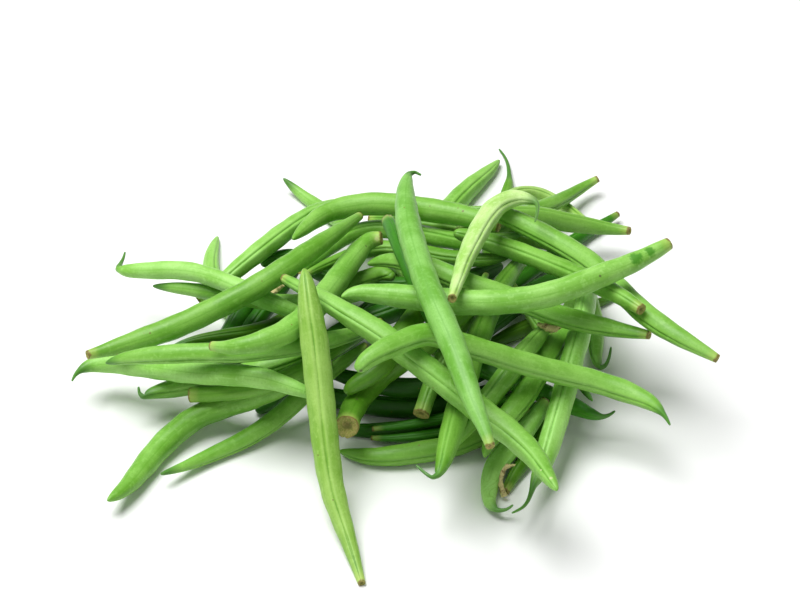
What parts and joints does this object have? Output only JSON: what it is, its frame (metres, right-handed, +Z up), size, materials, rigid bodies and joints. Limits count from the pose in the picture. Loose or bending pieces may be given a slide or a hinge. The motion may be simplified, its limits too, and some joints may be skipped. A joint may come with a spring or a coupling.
{
  "type": "heap of green beans",
  "caption": "Loose heap of slender fresh green bean pods, long, curved and tapered, lying across one another on a table.",
  "frame": {"origin": "on the table, under the middle of the heap's footprint", "axes": "+Z up from the table; the front of the heap faces -Y; +X to the right as seen from the front"},
  "size_m": [0.2234, 0.2389, 0.0653],
  "materials": {
    "pod_pale": "fresh pod skin, satin, pale green",
    "pod_mid": "fresh pod skin, satin, mid green",
    "pod_deep": "fresh pod skin, satin, deep green"
  },
  "bodies": {
    "root": {"back_leaf": "pod_deep", "back_tailed": "pod_deep", "back_left_tip": "pod_mid", "back_right_tip": "pod_deep", "left_upright_tip": "pod_mid", "left_core_outer": "pod_deep", "left_core_inner": "pod_deep", "left_gap_pod": "pod_deep", "low_core_left": "pod_deep", "left_second": "pod_mid", "core_diagonal": "pod_deep", "core_round_end": "pod_deep", "dried_stem": "pod_deep", "core_low_wide": "pod_deep", "core_middle": "pod_deep", "core_low_second": "pod_deep", "core_thin_upper": "pod_deep", "core_thin_lower": "pod_deep", "front_low": "pod_deep", "right_thin_tip": "pod_deep", "core_right": "pod_deep", "right_tail_low": "pod_deep", "right_tip_mid": "pod_mid", "corner_hook": "pod_deep", "right_hook": "pod_mid", "right_flat": "pod_mid", "right_stem_cap": "pod_mid", "mid_cut": "pod_mid", "middle_down": "pod_mid", "big_cut": "pod_mid", "middle_hook": "pod_mid", "right_vertical": "pod_mid", "front_left_upper": "pod_mid", "front_left_lower": "pod_mid", "left_small_hook": "pod_mid", "left_cut_low": "pod_mid", "upper_left": "pod_mid", "left_under": "pod_mid", "left_hooked": "pod_mid", "left_low_broad": "pod_mid", "back_thin": "pod_mid", "back_pale": "pod_pale", "right_up_cut": "pod_deep", "right_top_cut": "pod_mid", "long_arch": "pod_mid", "back_wave": "pod_mid", "back_seamed": "pod_mid", "long_left": "pod_mid", "left_low_slim": "pod_mid", "bent_dark": "pod_mid", "under_blunt": "pod_mid", "right_long_low": "pod_mid", "right_mid_cut": "pod_mid", "bent_over": "pod_pale", "dark_upright": "pod_deep", "blunt_curved": "pod_mid", "long_diagonal": "pod_mid", "pale_hooked": "pod_mid", "long_upright": "pod_mid", "front_hanging": "pod_pale"}
  },
  "joints": []
}
